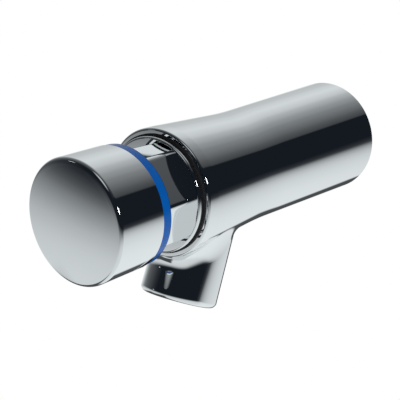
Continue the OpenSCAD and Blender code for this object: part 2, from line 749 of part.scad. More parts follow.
// Piston: hub that clamps the valve, grooved head and a hole for the metering jewel
hub_r = 5;
lip_groove_back = piston_back + (piston_t - lip_seal_w) / 2;
jewel_len = 2;
module piston() color(acetal)
    difference() {
        on_axis() lathe([[spindle_end_r + fit_gap, piston_back], [piston_r, piston_back],
                         [piston_r, lip_groove_back], [lip_groove_r, lip_groove_back],
                         [lip_groove_r, lip_groove_back + lip_seal_w],
                         [piston_r, lip_groove_back + lip_seal_w], [piston_r, piston_front],
                         [hub_r, piston_front, 0.8], [hub_r, disc_back],
                         [spindle_end_r + fit_gap, disc_back]]);
        on_axis(piston_back - 1) translate([0, jewel_at, 0])
            cylinder(r = jewel_r, h = jewel_len + 1);
        on_axis(piston_back) translate([0, jewel_at, 0])
            cylinder(r = jewel_r / 2, h = piston_t + 1);
    }

// Piston lip seal: ring with a flared lip, open towards the spring
module piston_lip_seal() color(rubber)
    on_axis(lip_groove_back + rest_gap)
        lathe([[lip_groove_r + fit_gap, 0], [lip_groove_r + 0.8, 0], [lip_groove_r + 1, 1.4],
               [dash_r - slide_gap - 0.6, 0], [dash_r - slide_gap, 0],
               [dash_r - slide_gap - 0.3, lip_seal_w - 2 * rest_gap],
               [lip_groove_r + fit_gap, lip_seal_w - 2 * rest_gap]]);

piston_clip_w = 1.8;
piston_clip_mouth = 3.2;
module piston_clip() color(steel)
    on_axis(groove_back + rest_gap / 2)
        rotate(-90) clip(spindle_end_r + piston_clip_w, spindle_end_r - clip_groove_depth + fit_gap,
                         clip_t, piston_clip_mouth);

module metering_jewel() color(ruby)
    on_axis(piston_back) translate([0, jewel_at, 0])
        ring(jewel_r - fit_gap, 0.3, jewel_len);

body();
head_nut();
bonnet_seal();
spindle_bush();
spindle_seal();
seal_retainer();
outlet_cage();
valve_seat();
seat_seal();
timing_cylinder();
cylinder_end_cap();
end_cap_clip();
return_spring();
inlet_nipple();
nipple_seal();
inlet_strainer();
wall_seal();
jet_housing();
jet_former();
flow_limiter();
jet_seal();
push_button();
indicator_ring();
button_lock_nut();
spindle();
valve_washer();
valve_disc();
piston();
piston_lip_seal();
piston_clip();
metering_jewel();
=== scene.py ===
# %% [markdown]
# # A push timed tap in Blender
# This lesson dresses a wall-mounted, self-closing tap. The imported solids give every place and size.
# The chromed pieces that fill the picture are turned again here with many more facets, because a
# mirror shows every flat. The small inner pieces keep their solids and get a fitting finish.

# %% Load the frame
import bpy
import json
import math
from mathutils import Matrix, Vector


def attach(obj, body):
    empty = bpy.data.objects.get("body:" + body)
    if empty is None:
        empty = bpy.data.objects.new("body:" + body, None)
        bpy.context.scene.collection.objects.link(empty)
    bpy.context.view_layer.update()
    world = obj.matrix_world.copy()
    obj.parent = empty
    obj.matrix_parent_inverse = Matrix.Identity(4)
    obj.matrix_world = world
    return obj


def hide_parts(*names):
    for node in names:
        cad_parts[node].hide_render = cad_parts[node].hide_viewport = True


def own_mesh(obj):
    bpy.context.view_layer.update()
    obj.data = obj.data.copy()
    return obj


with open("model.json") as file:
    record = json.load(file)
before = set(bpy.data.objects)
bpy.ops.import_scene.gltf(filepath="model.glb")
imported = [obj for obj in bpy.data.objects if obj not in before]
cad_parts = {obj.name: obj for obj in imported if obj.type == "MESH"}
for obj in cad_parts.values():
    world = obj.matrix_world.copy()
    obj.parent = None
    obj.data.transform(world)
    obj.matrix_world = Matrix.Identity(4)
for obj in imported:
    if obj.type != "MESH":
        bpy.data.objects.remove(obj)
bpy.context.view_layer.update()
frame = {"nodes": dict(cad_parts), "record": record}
nodes = frame["nodes"]
scene = bpy.context.scene
scene.view_settings.view_transform = "Standard"
MM = 0.001

# %% [markdown]
# ## Camera
# The tap was photographed with a long lens from the right, a little above. The camera's place comes
# from a fit of the button's two rims, the body's outline and the spout to the picture. The lens has
# no shift, and everything is sharp.

# %% Set the camera
CAMERA_AT = Vector((0.21058, -0.34383, 0.09849))
CAMERA_AZIMUTH, CAMERA_ELEVATION = math.radians(39.279), math.radians(17.759)


def direction(azimuth, elevation):
    """Unit vector from the tap outwards: azimuth 0 is straight in front of the button, 90 its right."""
    return Vector((math.sin(azimuth) * math.cos(elevation),
                   -math.cos(azimuth) * math.cos(elevation), math.sin(elevation)))


bpy.ops.object.select_all(action="DESELECT")
look_back = direction(CAMERA_AZIMUTH, CAMERA_ELEVATION)
bpy.ops.object.camera_add(location=CAMERA_AT, rotation=look_back.to_track_quat("Z", "Y").to_euler())
camera = bpy.context.active_object
camera.data.lens = 85
camera.data.sensor_width = 36
camera.data.clip_start, camera.data.clip_end = 0.01, 50
scene.camera = camera
print("camera looks along", [round(-c, 3) for c in look_back])

# %% [markdown]
# ## Small helpers for nodes
# Every finish below is a small graph. Two helpers keep the cells short: one adds a node and fills its
# sockets, the other draws a colour ramp from a list of stops.

# %% Node helpers


def add_node(tree, kind, inputs=None, **settings):
    node = tree.nodes.new(kind)
    for name, value in settings.items():
        setattr(node, name, value)
    for name, value in (inputs or {}).items():
        socket = node.inputs[name]
        if isinstance(value, bpy.types.NodeSocket):
            tree.links.new(value, socket)
        else:
            socket.default_value = value
    return node


def add_ramp(tree, factor, stops, interpolation="LINEAR"):
    """A grey ramp through stops of (position, grey), from the lowest position up."""
    ramp = add_node(tree, "ShaderNodeValToRGB", {"Fac": factor})
    ramp.color_ramp.interpolation = interpolation
    points = ramp.color_ramp.elements
    points[0].position, points[1].position = stops[0][0], stops[-1][0]
    for position, _ in stops[1:-1]:
        points.new(position)
    for point, (position, grey) in zip(points, stops):
        point.color = (grey, grey, grey, 1.0)
    return ramp.outputs["Color"]


def maths(tree, operation, *values, clamp=False):
    return add_node(tree, "ShaderNodeMath", dict(enumerate(values)),
                    operation=operation, use_clamp=clamp).outputs[0]


def dot(tree, vector, other):
    return add_node(tree, "ShaderNodeVectorMath", {0: vector, 1: other},
                    operation="DOT_PRODUCT").outputs["Value"]


def smooth_step(tree, value, start, end):
    """0 before start and 1 after end, with a soft change between them. End may be below start."""
    low, high = min(start, end), max(start, end)
    ends = (0.0, 1.0) if end > start else (1.0, 0.0)
    return add_node(tree, "ShaderNodeMapRange",
                    {"Value": value, "From Min": low, "From Max": high, "To Min": ends[0], "To Max": ends[1]},
                    interpolation_type="SMOOTHSTEP").outputs["Result"]


def spread(tree, value, low, high, start=0.0, end=1.0):
    """Moves a value from its own range, 0 to 1 unless given, into another one."""
    return add_node(tree, "ShaderNodeMapRange", {"Value": value, "From Min": start, "From Max": end,
                                                 "To Min": low, "To Max": high}).outputs["Result"]


def new_tree(name):
    """An empty node material, with its output."""
    material = bpy.data.materials.new(name)
    material.use_nodes = True
    material.node_tree.nodes.clear()
    return material, material.node_tree, add_node(material.node_tree, "ShaderNodeOutputMaterial")


print("node helpers ready")

# %% [markdown]
# ## The studio
# Chrome has no colour of its own: it shows the room. The picture's reflections tell what stood round
# the tap. Below was a white table that fades towards its far edge, with the tap's own shadow painted on
# it as a dark strip beside the sweep. A long white sweep hung over the left side, along the tap, and the
# photographer's side was dark. A light tent carries these as soft gradients. It is a large sphere that
# only reflections see, so the picture's background stays white. Two angles place the table and the
# sweep: the elevation, and the roll round the tap's own axis, because the sweep's edges run along the
# tap. Two soft boxes are added: a small one lights the hexagon's top, and a wide one overhead lights
# the tap for a look from behind.

# %% Tent coordinates
TENT_CENTRE = Vector((0, -0.085, 0))
TENT_RADIUS = 4.0
CHROME_MEAN = 0.84

bpy.ops.object.select_all(action="DESELECT")
bpy.ops.mesh.primitive_uv_sphere_add(segments=64, ring_count=32, radius=TENT_RADIUS, location=TENT_CENTRE)
tent = bpy.context.active_object
tent.name = "light_tent"
bpy.ops.object.shade_smooth()
material, tree, output = new_tree("tent_gradients")
place = add_node(tree, "ShaderNodeTexCoord").outputs["Object"]
ray = add_node(tree, "ShaderNodeVectorMath", {0: place}, operation="NORMALIZE").outputs["Vector"]
parts = add_node(tree, "ShaderNodeSeparateXYZ", {"Vector": ray}).outputs
share_up = maths(tree, "MULTIPLY_ADD", parts["Z"], 0.5, 0.5)
share_back = maths(tree, "MULTIPLY_ADD", parts["Y"], 0.5, 0.5)
roll = maths(tree, "ARCTAN2", parts["Z"], parts["X"])
share_roll = maths(tree, "MULTIPLY_ADD", roll, 1 / math.tau, 0.5)


def by_elevation(rows, height):
    """A ramp through rows of (elevation in degrees, brightness)."""
    return add_ramp(tree, height, [((math.sin(math.radians(angle)) + 1) / 2, light) for angle, light in rows])


def by_roll(rows):
    """A ramp through rows of (roll in degrees: 0 right, 90 up, 180 left, -90 down; brightness)."""
    return add_ramp(tree, share_roll, [(angle / 360 + 0.5, light) for angle, light in rows])


def by_depth(rows):
    """A ramp through rows of (share towards the wall, -1 to 1; brightness)."""
    return add_ramp(tree, share_back, [((depth + 1) / 2, light) for depth, light in rows])


print("tent radius", TENT_RADIUS)

# %% Table, sweep and soft boxes
near_height = maths(tree, "ADD", parts["Z"], spread(tree, parts["X"], -0.068, 0.102, -1.0, -0.15))
near_share = maths(tree, "MULTIPLY_ADD", near_height, 0.5, 0.5)
near_table = by_elevation([
    (-90, 0.70), (-45, 0.64), (-32.5, 0.613), (-28, 0.583), (-25.6, 0.56), (-23.4, 0.525),
    (-21.3, 0.48), (-19, 0.43), (-17, 0.37), (-15, 0.305), (-13, 0.245), (-11, 0.187), (-9, 0.12),
    (-7, 0.07), (-5, 0.038), (-3, 0.015), (-1, 0.0), (90, 0.0)], near_share)
far_table = by_elevation([
    (-90, 0.77), (-60, 0.76), (-46, 0.745), (-34, 0.695), (-26, 0.63), (-22, 0.575), (-18, 0.48), (-14, 0.31),
    (-10, 0.04), (-8, 0.015), (-4, 0.0), (90, 0.0)], share_up)
far_side = smooth_step(tree, parts["Y"], -0.05, 0.25)
table = add_node(tree, "ShaderNodeMix", {0: far_side, 2: near_table, 3: far_table}).outputs[0]
# Painted shadow: the tap's own shadow on the table, a dark strip along the tap, below it and towards the wall.
painted_shadow_strip = by_roll([(-180, 0.0), (-147, 0.0), (-139, 0.92), (-112, 0.92), (-106, 0.0), (180, 0.0)])
painted_shadow_reach = maths(tree, "MAXIMUM", smooth_step(tree, parts["Y"], -0.5, -0.3),
                  smooth_step(tree, parts["Z"], -0.62, -0.69))
painted_shadow_strip = maths(tree, "MULTIPLY", painted_shadow_strip, painted_shadow_reach)
table = maths(tree, "MULTIPLY", table, maths(tree, "SUBTRACT", 1.0, painted_shadow_strip))
sweep = by_roll([
    (-180, 0.48), (-176, 0.57), (-169, 0.71), (-155, 0.70), (-147, 0.35), (-140, 0.0), (40, 0.0), (42, 0.042),
    (46.8, 0.06), (51.5, 0.077), (57, 0.108), (62, 0.133), (65.4, 0.15), (70, 0.175), (75, 0.195), (80, 0.24),
    (87, 0.28), (94, 0.355), (103, 0.437), (108, 0.52), (114, 0.57), (121, 0.61), (128, 0.647), (133, 0.64),
    (138, 0.61), (143.5, 0.59), (149, 0.555), (155, 0.51), (162, 0.495), (169, 0.47), (176, 0.454), (180, 0.48)])
sweep_fade = by_depth([(-1, 0.0), (-0.8, 0.0), (-0.64, 0.04), (-0.5, 0.09), (-0.34, 0.14), (-0.17, 0.19), (0, 0.28),
                       (0.14, 0.47), (0.31, 0.70), (0.5, 1.0), (1, 1.0)])
light = maths(tree, "MAXIMUM", table, maths(tree, "MULTIPLY", sweep, sweep_fade))
# azimuth, elevation, where its edge starts and ends in degrees from its middle, brightness
SOFT_BOXES = [(-43.7, 5.7, 2.8, 1.8, 0.75), (16, 53, 20, 6, 0.45)]
for azimuth, elevation, outer, inner, level in SOFT_BOXES:
    towards = direction(math.radians(azimuth), math.radians(elevation))
    box = smooth_step(tree, dot(tree, ray, towards),
                      math.cos(math.radians(outer)), math.cos(math.radians(inner)))
    light = maths(tree, "MAXIMUM", light, maths(tree, "MULTIPLY", box, level))
room = add_node(tree, "ShaderNodeMix", {0: light, 6: (0.0075, 0.0100, 0.0145, 1), 7: (0.955, 1.0, 1.005, 1)},
                data_type="RGBA")
glow = add_node(tree, "ShaderNodeEmission", {"Color": room.outputs[2], "Strength": 1 / CHROME_MEAN})
tree.links.new(glow.outputs[0], output.inputs["Surface"])
tent.data.materials.append(material)
material.cycles.emission_sampling = "NONE"
tent.visible_camera = tent.visible_diffuse = tent.visible_shadow = False
tent.visible_transmission = tent.visible_volume_scatter = False
print("tent nodes:", len(tree.nodes))

# %% [markdown]
# ## Floor, world and lamps
# The picture's background is plain white. The floor and the world are white to the camera, and give
# softer light to matt surfaces such as the coloured ring. The floor is left out of reflections, where
# the tent already shows a table. One broad lamp on the right gives the ring its shade, and one small
# lamp gives the bright points on the rounded chrome edges.

# %% Floor and world
FLOOR_AT = -0.45
SOFT_LIGHT = 0.34

bpy.ops.object.select_all(action="DESELECT")
bpy.ops.mesh.primitive_plane_add(size=12, location=(0, 0, FLOOR_AT))
floor = bpy.context.active_object
floor.name = "pale_floor"
material, tree, output = new_tree("pale_floor")
path = add_node(tree, "ShaderNodeLightPath")
matt = add_node(tree, "ShaderNodeBsdfDiffuse", {"Color": (0.8, 0.8, 0.8, 1)})
white = add_node(tree, "ShaderNodeEmission", {"Color": (1, 1, 1, 1), "Strength": 1.0})
shown = add_node(tree, "ShaderNodeMixShader",
                 {0: path.outputs["Is Camera Ray"], 1: matt.outputs[0], 2: white.outputs[0]})
under = add_node(tree, "ShaderNodeNewGeometry").outputs["Backfacing"]
clear = add_node(tree, "ShaderNodeBsdfTransparent")
one_sided = add_node(tree, "ShaderNodeMixShader", {0: under, 1: shown.outputs[0], 2: clear.outputs[0]})
tree.links.new(one_sided.outputs[0], output.inputs["Surface"])
floor.data.materials.append(material)
floor.visible_glossy = False

world = bpy.data.worlds.new("white_room")
world.use_nodes = True
world.node_tree.nodes.clear()
path = add_node(world.node_tree, "ShaderNodeLightPath")
seen = maths(world.node_tree, "MAXIMUM", path.outputs["Is Camera Ray"], path.outputs["Is Glossy Ray"])
seen = maths(world.node_tree, "MAXIMUM", seen, path.outputs["Is Transmission Ray"])
level = maths(world.node_tree, "MULTIPLY_ADD", seen, 1 - SOFT_LIGHT, SOFT_LIGHT)
backdrop = add_node(world.node_tree, "ShaderNodeBackground", {"Color": (1, 1, 1, 1), "Strength": level})
add_node(world.node_tree, "ShaderNodeOutputWorld", {"Surface": backdrop.outputs[0]})
scene.world = world
print("floor at", FLOOR_AT, "soft light", SOFT_LIGHT)

# %% Lamps


def add_lamp(name, azimuth, elevation, distance, size, power, in_reflections):
    """A round lamp that looks at the tap's middle."""
    bpy.ops.object.select_all(action="DESELECT")
    ray_out = direction(math.radians(azimuth), math.radians(elevation))
    bpy.ops.object.light_add(type="AREA", location=TENT_CENTRE + ray_out * distance,
                             rotation=ray_out.to_track_quat("Z", "Y").to_euler())
    lamp = bpy.context.active_object
    lamp.name = lamp.data.name = name
    lamp.data.shape = "DISK"
    lamp.data.size = size
    lamp.data.energy = power
    lamp.visible_glossy = in_reflections
    return lamp


add_lamp("broad_lamp", 75, 5, 1.4, 0.8, 5.5, False)
add_lamp("small_lamp", 84, 20, 1.6, 0.30, 2.2, True)

# %% [markdown]
# ## Finishes
# Each finish is a Principled shader with its own small graph. Three effects recur: a soft haze that
# makes polish uneven, a fine grain, and the tool rings that turning leaves. They are node groups that
# put out plain values, and each finish sets how much of them it shows.

# %% Shared effects


def new_group(name, inputs, outputs):
    """A node group with number inputs (name, default) and value outputs."""
    group = bpy.data.node_groups.new(name, "ShaderNodeTree")
    for label, default in inputs:
        group.interface.new_socket(label, in_out="INPUT", socket_type="NodeSocketFloat").default_value = default
    for label in outputs:
        group.interface.new_socket(label, in_out="OUTPUT", socket_type="NodeSocketFloat")
    return group, add_node(group, "NodeGroupInput").outputs, add_node(group, "NodeGroupOutput").inputs


def object_place(tree):
    return add_node(tree, "ShaderNodeTexCoord").outputs["Object"]


haze_group, given, gives = new_group("soft_haze", [("Scale", 60.0)], ["Haze", "Grain"])
cloud = add_node(haze_group, "ShaderNodeTexNoise",
                 {"Vector": object_place(haze_group), "Scale": given["Scale"], "Detail": 4.0, "Roughness": 0.55})
fine_scale = maths(haze_group, "MULTIPLY", given["Scale"], 45.0)
speck = add_node(haze_group, "ShaderNodeTexNoise",
                 {"Vector": object_place(haze_group), "Scale": fine_scale, "Detail": 2.0, "Roughness": 0.6})
haze_group.links.new(cloud.outputs[0], gives["Haze"])
haze_group.links.new(speck.outputs[0], gives["Grain"])

tool_group, given, gives = new_group("tool_rings", [("Rings per metre", 3500.0), ("Waver", 0.6)], ["Rings"])
turned_place = object_place(tool_group)
wave = add_node(tool_group, "ShaderNodeTexWave",
                {"Vector": turned_place, "Scale": maths(tool_group, "MULTIPLY", given["Rings per metre"], 0.31831),
                 "Distortion": given["Waver"], "Detail": 2.0, "Detail Scale": 1.5},
                wave_type="BANDS", bands_direction="Y")
tool_group.links.new(wave.outputs["Fac"], gives["Rings"])
print("effects:", [g.name for g in (haze_group, tool_group)])

# %% Finish builder


def place_group(tree, group, **values):
    node = add_node(tree, "ShaderNodeGroup", node_tree=group)
    for label, value in values.items():
        node.inputs[label.replace("_", " ")].default_value = value
    return node.outputs


def bumped(tree, height, strength, distance):
    return add_node(tree, "ShaderNodeBump",
                    {"Height": height, "Strength": strength, "Distance": distance}).outputs["Normal"]


def new_finish(name, **sockets):
    """A Principled material; sockets are plain values or links, with _ for a space."""
    material, tree, output = new_tree(name)
    shader = add_node(tree, "ShaderNodeBsdfPrincipled")
    tree.links.new(shader.outputs[0], output.inputs["Surface"])
    for label, value in sockets.items():
        shader.inputs[label.replace("_", " ")].default_value = value
    return material, tree, shader.inputs


def two_tones(tree, factor, dark, pale):
    mix = add_node(tree, "ShaderNodeMix", {0: factor, 6: (*dark, 1), 7: (*pale, 1)}, data_type="RGBA")
    return mix.outputs[2]


print("finish builder ready")

# %% [markdown]
# Chrome plate is a clear mirror with a faint blue-grey tone. Real plate is never quite even: wiping
# leaves a haze that only shows as a slightly wider highlight. So its roughness wanders in a narrow
# band, and the mirror itself stays flat.

# %% Chrome
chrome, tree, into = new_finish("chrome_plate", Metallic=1.0)
effects = place_group(tree, haze_group, Scale=70.0)
tree.links.new(spread(tree, effects["Haze"], 0.01, 0.035), into["Roughness"])
tree.links.new(two_tones(tree, effects["Haze"], (0.815, 0.84, 0.855), (0.84, 0.855, 0.86)), into["Base Color"])
print(chrome.name)

# %% [markdown]
# The coloured ring is a gloss plastic moulding. Its colour is nearly even, with a faint cloud from the
# moulding, and its surface is smooth with a fine orange-peel. Its rear face, which lies in the gap
# before the flange, gets painted shade: its colour there is a much darker navy.

# %% Ring plastic
ring_blue, tree, into = new_finish("gloss_blue_plastic", IOR=1.5, Specular_IOR_Level=0.22)
effects = place_group(tree, haze_group, Scale=160.0)
tone = two_tones(tree, effects["Haze"], (0.0, 0.110, 0.475), (0.001, 0.135, 0.56))
# Painted shade: the ring's rear face, towards the wall, is coloured dark navy instead of its blue.
depth = add_node(tree, "ShaderNodeSeparateXYZ", {"Vector": object_place(tree)}).outputs["Y"]
painted_shade_mask = smooth_step(tree, depth, -0.1271, -0.1267)
painted_shade_tone = (0.0, 0.006, 0.03, 1)
tone = add_node(tree, "ShaderNodeMix", {0: painted_shade_mask, 6: tone, 7: painted_shade_tone}, data_type="RGBA").outputs[2]
tree.links.new(tone, into["Base Color"])
tree.links.new(spread(tree, effects["Haze"], 0.16, 0.26), into["Roughness"])
tree.links.new(bumped(tree, effects["Grain"], 0.05, 0.0001), into["Normal"])
print(ring_blue.name)

# %% [markdown]
# The inner pieces are turned brass, stainless steel, black rubber, white acetal and red fibre, with
# one small ruby. They hardly show at rest, but the tap can be opened, so each gets its own grain.

# %% Inner finishes
brass, tree, into = new_finish("turned_brass", Metallic=1.0)
rings = place_group(tree, tool_group, Rings_per_metre=4200.0, Waver=0.8)
effects = place_group(tree, haze_group, Scale=90.0)
tree.links.new(two_tones(tree, effects["Haze"], (0.62, 0.43, 0.16), (0.80, 0.62, 0.30)), into["Base Color"])
tree.links.new(spread(tree, effects["Haze"], 0.20, 0.38), into["Roughness"])
tree.links.new(bumped(tree, rings["Rings"], 0.25, 0.00005), into["Normal"])

steel, tree, into = new_finish("stainless_steel", Metallic=1.0)
rings = place_group(tree, tool_group, Rings_per_metre=5200.0, Waver=2.0)
effects = place_group(tree, haze_group, Scale=120.0)
tree.links.new(two_tones(tree, effects["Haze"], (0.50, 0.51, 0.53), (0.68, 0.69, 0.70)), into["Base Color"])
tree.links.new(spread(tree, effects["Haze"], 0.18, 0.34), into["Roughness"])
tree.links.new(bumped(tree, rings["Rings"], 0.15, 0.00004), into["Normal"])

rubber, tree, into = new_finish("black_rubber", Specular_IOR_Level=0.35)
effects = place_group(tree, haze_group, Scale=140.0)
tree.links.new(two_tones(tree, effects["Haze"], (0.010, 0.010, 0.011), (0.022, 0.022, 0.024)), into["Base Color"])
tree.links.new(spread(tree, effects["Haze"], 0.50, 0.72), into["Roughness"])
tree.links.new(bumped(tree, effects["Grain"], 0.2, 0.0001), into["Normal"])

acetal, tree, into = new_finish("white_acetal", IOR=1.48)
effects = place_group(tree, haze_group, Scale=80.0)
tree.links.new(two_tones(tree, effects["Haze"], (0.70, 0.70, 0.66), (0.80, 0.80, 0.77)), into["Base Color"])
tree.links.new(spread(tree, effects["Haze"], 0.32, 0.46), into["Roughness"])
tree.links.new(bumped(tree, effects["Grain"], 0.08, 0.0001), into["Normal"])

fibre, tree, into = new_finish("red_fibre", Specular_IOR_Level=0.3)
effects = place_group(tree, haze_group, Scale=220.0)
tree.links.new(two_tones(tree, effects["Grain"], (0.16, 0.03, 0.02), (0.34, 0.08, 0.05)), into["Base Color"])
tree.links.new(spread(tree, effects["Haze"], 0.6, 0.85), into["Roughness"])
tree.links.new(bumped(tree, effects["Grain"], 0.3, 0.0001), into["Normal"])

ruby, tree, into = new_finish("ruby", IOR=1.77)
effects = place_group(tree, haze_group, Scale=400.0)
tree.links.new(two_tones(tree, effects["Haze"], (0.35, 0.010, 0.04), (0.48, 0.02, 0.06)), into["Base Color"])
tree.links.new(spread(tree, effects["Haze"], 0.05, 0.12), into["Roughness"])

FINISHES = {"chrome": chrome, "blue_ring": ring_blue, "brass": brass, "steel": steel, "rubber": rubber,
            "acetal": acetal, "fibre": fibre, "ruby": ruby}
for row in frame["record"]["subparts"]:
    cad = nodes[row["node"]]
    cad.data.materials.clear()
    cad.data.materials.append(FINISHES[row["material_slot"]])
print("finishes:", sorted(FINISHES))

# %% [markdown]
# ## Turning a profile
# Most of the tap is turned on a lathe, so most of it is made by one small routine. A point is placed,
# then extruded from corner to corner along the outline, and the outline is spun round its axis. A
# corner that has a radius becomes a short arc first. Lengths are in millimetres here: the radius from
# the axis, and the distance from the wall.

# %% Profile helpers
ROUND_STEP = math.radians(6)
TURN_STEPS = 224
MERGE = 1e-7


def rounded(outline, closed=True):
    """Corners of (radius, place) stay sharp; those of (radius, place, rounding) become arcs."""
    points = []
    count = len(outline)
    for i, corner in enumerate(outline):
        at = Vector(corner[:2])
        ends = not closed and i in (0, count - 1)
        if len(corner) == 2 or ends:
            points.append(at)
            continue
        back, ahead = Vector(outline[i - 1][:2]) - at, Vector(outline[(i + 1) % count][:2]) - at
        half = back.angle(ahead) / 2
        room = [edge.length * (0.48 if len(outline[j % count]) > 2 else 0.96)
                for j, edge in ((i - 1, back), (i + 1, ahead))]
        reach = min(corner[2] / math.tan(half), *room)
        radius = reach * math.tan(half)
        start, end = at + back.normalized() * reach, at + ahead.normalized() * reach
        centre = at + (back.normalized() + ahead.normalized()).normalized() * radius / math.sin(half)
        sweep = math.pi - 2 * half
        steps = max(6, math.ceil(sweep / ROUND_STEP))
        a, b = start - centre, end - centre
        for k in range(steps + 1):
            near, far = math.sin((1 - k / steps) * sweep), math.sin(k / steps * sweep)
            points.append(centre + (a * near + b * far) / math.sin(sweep))
    return points


def on_axis(radius, from_wall):
    return Vector((radius, -from_wall, 0)) * MM


def trace(name, points):
    """A line of edges through points, drawn by extruding one vertex. Leaves edit mode on."""
    bpy.ops.object.select_all(action="DESELECT")
    bpy.ops.mesh.primitive_plane_add(size=MM, location=(0, 0, 0))
    piece = bpy.context.active_object
    piece.name = piece.data.name = name
    bpy.ops.object.mode_set(mode="EDIT")
    bpy.ops.mesh.select_all(action="SELECT")
    bpy.ops.mesh.merge(type="CENTER")
    bpy.ops.transform.translate(value=points[0])
    for here, there in zip(points, points[1:]):
        bpy.ops.mesh.extrude_region_move(TRANSFORM_OT_translate={"value": there - here})
    return piece


def close_shell(merge=MERGE):
    """Merges what spinning left double, points the faces outwards and leaves edit mode."""
    bpy.ops.mesh.select_all(action="SELECT")
    bpy.ops.mesh.remove_doubles(threshold=merge)
    bpy.ops.mesh.normals_make_consistent(inside=False)
    bpy.ops.object.mode_set(mode="OBJECT")


def turn(name, outline, to_place=on_axis, centre=(0, 0, 0), axis=(0, 1, 0), steps=TURN_STEPS):
    """Spins a closed outline into a solid."""
    points = [to_place(*p) for p in rounded(outline)]
    piece = trace(name, points + points[:1])
    bpy.ops.mesh.select_all(action="SELECT")
    bpy.ops.mesh.spin(steps=steps, angle=math.tau, center=centre, axis=axis)
    close_shell()
    bpy.ops.object.shade_smooth_by_angle(angle=math.radians(28))
    return piece


def join(pieces, name):
    bpy.ops.object.select_all(action="DESELECT")
    for piece in pieces:
        piece.select_set(True)
    bpy.context.view_layer.objects.active = pieces[0]
    bpy.ops.object.join()
    pieces[0].name = pieces[0].data.name = name
    return pieces[0]


CUT_MERGE = 4e-6


def apply_boolean(piece, tool, operation):
    """Cuts or keeps what a tool marks, removes the tool and clears the slivers along the cut."""
    bpy.ops.object.select_all(action="DESELECT")
    piece.select_set(True)
    bpy.context.view_layer.objects.active = piece
    cut = piece.modifiers.new("cut", "BOOLEAN")
    cut.object, cut.operation, cut.solver = tool, operation, "EXACT"
    bpy.ops.object.modifier_apply(modifier=cut.name)
    bpy.data.objects.remove(tool)
    bpy.ops.object.mode_set(mode="EDIT")
    bpy.ops.mesh.select_all(action="SELECT")
    bpy.ops.mesh.dissolve_degenerate(threshold=CUT_MERGE)
    close_shell(CUT_MERGE)


def finish_piece(piece, material, slot, body, *stands_for):
    piece.data.materials.clear()
    piece.data.materials.append(material)
    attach(piece, body)
    if stands_for:
        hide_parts(*stands_for)
    print(piece.name, "faces:", len(piece.data.polygons))


print("profile helpers ready")

# %% [markdown]
# ## Body
# The body is a brass casting, turned outside to a soft waist between the wall and a rim, with a
# round spout that leans forward. The turned part and the spout are both spun. The bores are part of
# their outlines, so the tap is hollow here too, and the spout is cut off inside the casting's wall.

# %% Body and spout
REAR_R, WAIST_R, RIM_R = 23.05, 21.4, 23.3
WAIST_AT, RIM_AT, FRONT_AT = 66, 104.6, 109.6
SHANK_BACK = 96.2
OUTER = [(REAR_R, 0, 0.6), (WAIST_R, WAIST_AT, 200), (RIM_R, RIM_AT, 20), (RIM_R, FRONT_AT, 0.9)]
BORES = [(18.95, FRONT_AT), (18.95, SHANK_BACK), (17.5, SHANK_BACK), (17.5, 69.5), (16, 69.5), (16, 20),
         (10.53, 20), (10.53, 7.5), (19, 7.5), (19, 0)]
turned_body = turn("turned_body", OUTER + BORES)

OUTLET = Vector((0, -99.6, -43.3))
LEAN = math.radians(24.2)
SPOUT_UP = Vector((0, math.sin(LEAN), math.cos(LEAN)))
SPOUT_FORE = Vector((0, -math.cos(LEAN), math.sin(LEAN)))
LIP_R, SPOUT_TAPER, SPOUT_TOP = 14.45, 0.01458, 34.0
SIDE = Vector((1, 0, 0))


def on_spout(radius, up):
    return (OUTLET + SPOUT_UP * up + SIDE * radius) * MM


spout = turn("spout", [(LIP_R, 0, 2.2), (LIP_R - SPOUT_TAPER * SPOUT_TOP, SPOUT_TOP), (7, SPOUT_TOP), (7, 21.8),
                       (8.5, 16.8), (11.9, 16.8), (11.9, 0)],
             on_spout, OUTLET * MM, SPOUT_UP)
chamber = turn("chamber_cut", [(0, 40), (18.2, 40), (18.2, SHANK_BACK - 0.8), (19.6, SHANK_BACK - 0.8),
                                (19.6, FRONT_AT), (0, FRONT_AT)], steps=96)
apply_boolean(spout, chamber, "DIFFERENCE")
bpy.ops.object.shade_smooth_by_angle(angle=math.radians(28))
print("spout lip to wall, mm:", round(-OUTLET.y, 1))

# %% [markdown]
# A ball that rolls round the spout and touches both surfaces leaves the fillet between them. The ball
# is small in front, grows towards the spout's sides, where the casting flows into the body, swells
# once more just at the sides, and is smallest behind.
# No edge bevel follows two turned surfaces this closely, so the strip is worked out point by point:
# for each direction round the spout the ball is raised until it touches the body, and its arc between
# the two touching points becomes one row of the strip.

# %% Root fillet
FILLET_FRONT, FILLET_SIDE, FILLET_SWELL, FILLET_BACK = 5.2, 13.0, 6.0, 2.0
SWELL_REACH, BACK_REACH = 24, 50
FILLET_ROWS, FILLET_ARC = 240, 16
body_line = rounded([(REAR_R, 0)] + OUTER[1:] + [(18.95, FRONT_AT)], closed=False)


def nearest_on_body(point):
    """Nearest point of the body's outside to a point, and how far it is."""
    flat = Vector((math.hypot(point.x, point.z), -point.y))
    best = None
    for a, b in zip(body_line, body_line[1:]):
        along = b - a
        share = min(1, max(0, (flat - a).dot(along) / along.length_squared))
        touch = a + along * share
        gap = (flat - touch).length
        if best is None or gap < best[0]:
            best = (gap, touch)
    gap, touch = best
    scale = touch.x / flat.x
    return gap, Vector((point.x * scale, -touch.y, point.z * scale))


def ease(share):
    share = min(1, max(0, share))
    return share * share * (3 - 2 * share)


def fillet_radius(angle):
    """The ball's radius in a direction round the spout: widest at the sides, evened out a little."""
    fore = math.degrees(math.asin(math.sin(angle)))
    total = 0.0
    for near in (fore - 10, fore - 5, fore, fore + 5, fore + 10):
        total += FILLET_SWELL * ease(1 - abs(near) / SWELL_REACH)
        if near > 0:
            total += FILLET_FRONT + (FILLET_SIDE - FILLET_FRONT) * max(0, 1 - near / 90) ** 2
        else:
            total += FILLET_SIDE + (FILLET_BACK - FILLET_SIDE) * ease(-near / BACK_REACH)
    return total / 5


